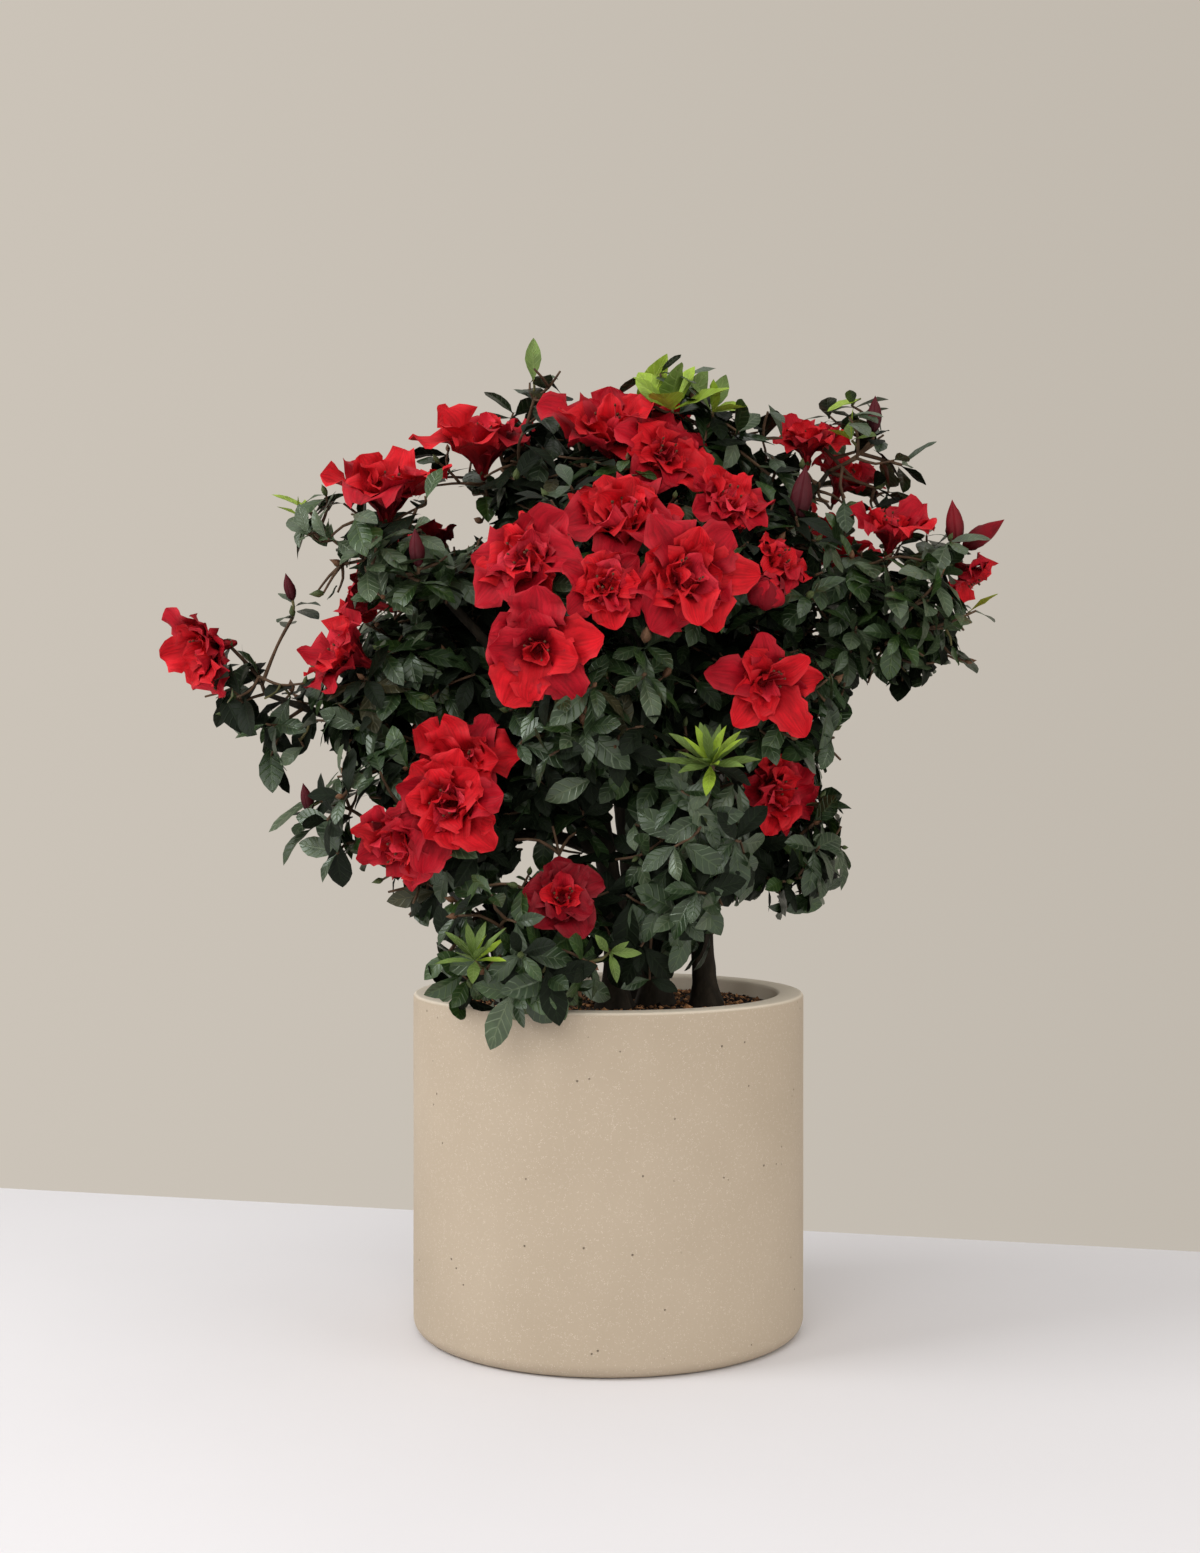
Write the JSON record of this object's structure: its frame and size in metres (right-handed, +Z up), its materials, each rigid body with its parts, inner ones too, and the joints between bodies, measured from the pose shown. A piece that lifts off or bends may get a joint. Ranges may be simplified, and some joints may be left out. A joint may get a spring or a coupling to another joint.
{
  "type": "potted azalea shrub",
  "caption": "Bushy azalea shrub with double red blooms and dark leaves on slim woody stems, growing in a round sand-coloured stone planter filled with soil.",
  "frame": {"origin": "centre of the planter's flat underside, on the surface that the planter stands on", "axes": "+Z up along the planter's axis, -Y towards the front, where the crown shows most of its blooms, +X to the right as seen from the front"},
  "size_m": [0.5178, 0.337, 0.6101],
  "materials": {
    "planter": "matte",
    "soil": "matte",
    "bark": "matte",
    "foliage": "satin"
  },
  "bodies": {
    "root": {"bough_back_left": "bark", "bough_back_low_left": "bark", "bough_back_low_right": "bark", "bough_back_middle": "bark", "bough_back_right": "bark", "bough_back_top": "bark", "bough_bottom_left": "bark", "bough_centre": "bark", "bough_left": "bark", "bough_left_arm": "bark", "bough_lower_left": "bark", "bough_lower_right": "bark", "bough_mid_front": "bark", "bough_mid_right": "bark", "bough_right": "bark", "bough_right_arm": "bark", "bough_right_front": "bark", "bough_top": "bark", "bough_top_left": "bark", "bough_upper_left": "bark", "bough_upper_right": "bark", "mass_back_left": "foliage", "mass_back_low_left": "foliage", "mass_back_low_right": "foliage", "mass_back_middle": "foliage", "mass_back_right": "foliage", "mass_back_top": "foliage", "mass_bottom_left": "foliage", "mass_centre": "foliage", "mass_left": "foliage", "mass_left_arm": "foliage", "mass_lower_left": "foliage", "mass_lower_right": "foliage", "mass_mid_front": "foliage", "mass_mid_right": "foliage", "mass_right": "foliage", "mass_right_arm": "foliage", "mass_right_front": "foliage", "mass_top": "foliage", "mass_top_left": "foliage", "mass_upper_left": "foliage", "mass_upper_right": "foliage", "planter": "planter", "soil": "soil", "stem_back": "bark", "stem_left": "bark", "stem_middle": "bark", "stem_right": "bark"}
  },
  "joints": []
}
